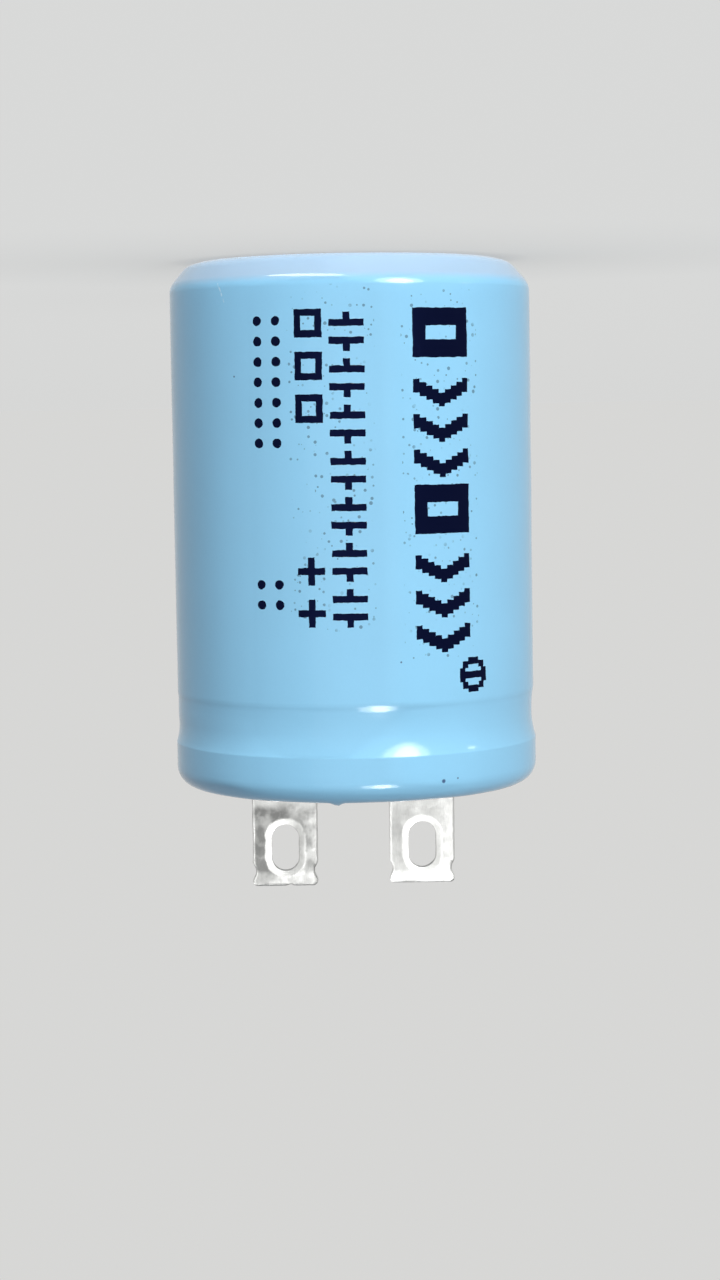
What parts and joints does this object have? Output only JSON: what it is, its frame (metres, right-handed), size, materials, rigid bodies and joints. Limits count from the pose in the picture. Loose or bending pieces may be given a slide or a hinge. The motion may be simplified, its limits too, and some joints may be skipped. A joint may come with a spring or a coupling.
{
  "type": "supercapacitor",
  "caption": "Cylindrical wound supercapacitor cell: beaded and crimped can in a shrunk blue sleeve, with flat solder lugs that have oblong eyes.",
  "frame": {"origin": "centre of the closed end, on the plane of the sleeve lip that the cell stands on", "axes": "+Z along the can from its closed end to the lugs, +X from the negative lug to the positive lug, -Y the side that the lugs' flat faces and the marking face"},
  "size_m": [0.0262, 0.0262, 0.0454],
  "materials": {
    "sleeve_film": "glossy shrunk film",
    "drawn_aluminium": "bright drawn",
    "phenolic": "pressed laminate",
    "seal_rubber": "matte sheet",
    "tinned_metal": "hot tinned",
    "rivet_aluminium": "peened",
    "tab_foil": "rolled strip",
    "electrode_roll": "carbon and paper edges",
    "winding_tape": "thin film",
    "pad_fibre": "pressed fibre"
  },
  "bodies": {
    "root": {"sleeve": "sleeve_film", "can": "drawn_aluminium", "header_board": "phenolic", "header_seal": "seal_rubber", "positive_lug": "tinned_metal", "negative_lug": "tinned_metal", "positive_rivet": "rivet_aluminium", "negative_rivet": "rivet_aluminium", "positive_washer": "rivet_aluminium", "negative_washer": "rivet_aluminium", "positive_tab": "tab_foil", "negative_tab": "tab_foil", "wound_element": "electrode_roll", "element_tape": "winding_tape", "base_pad": "pad_fibre"}
  },
  "joints": []
}
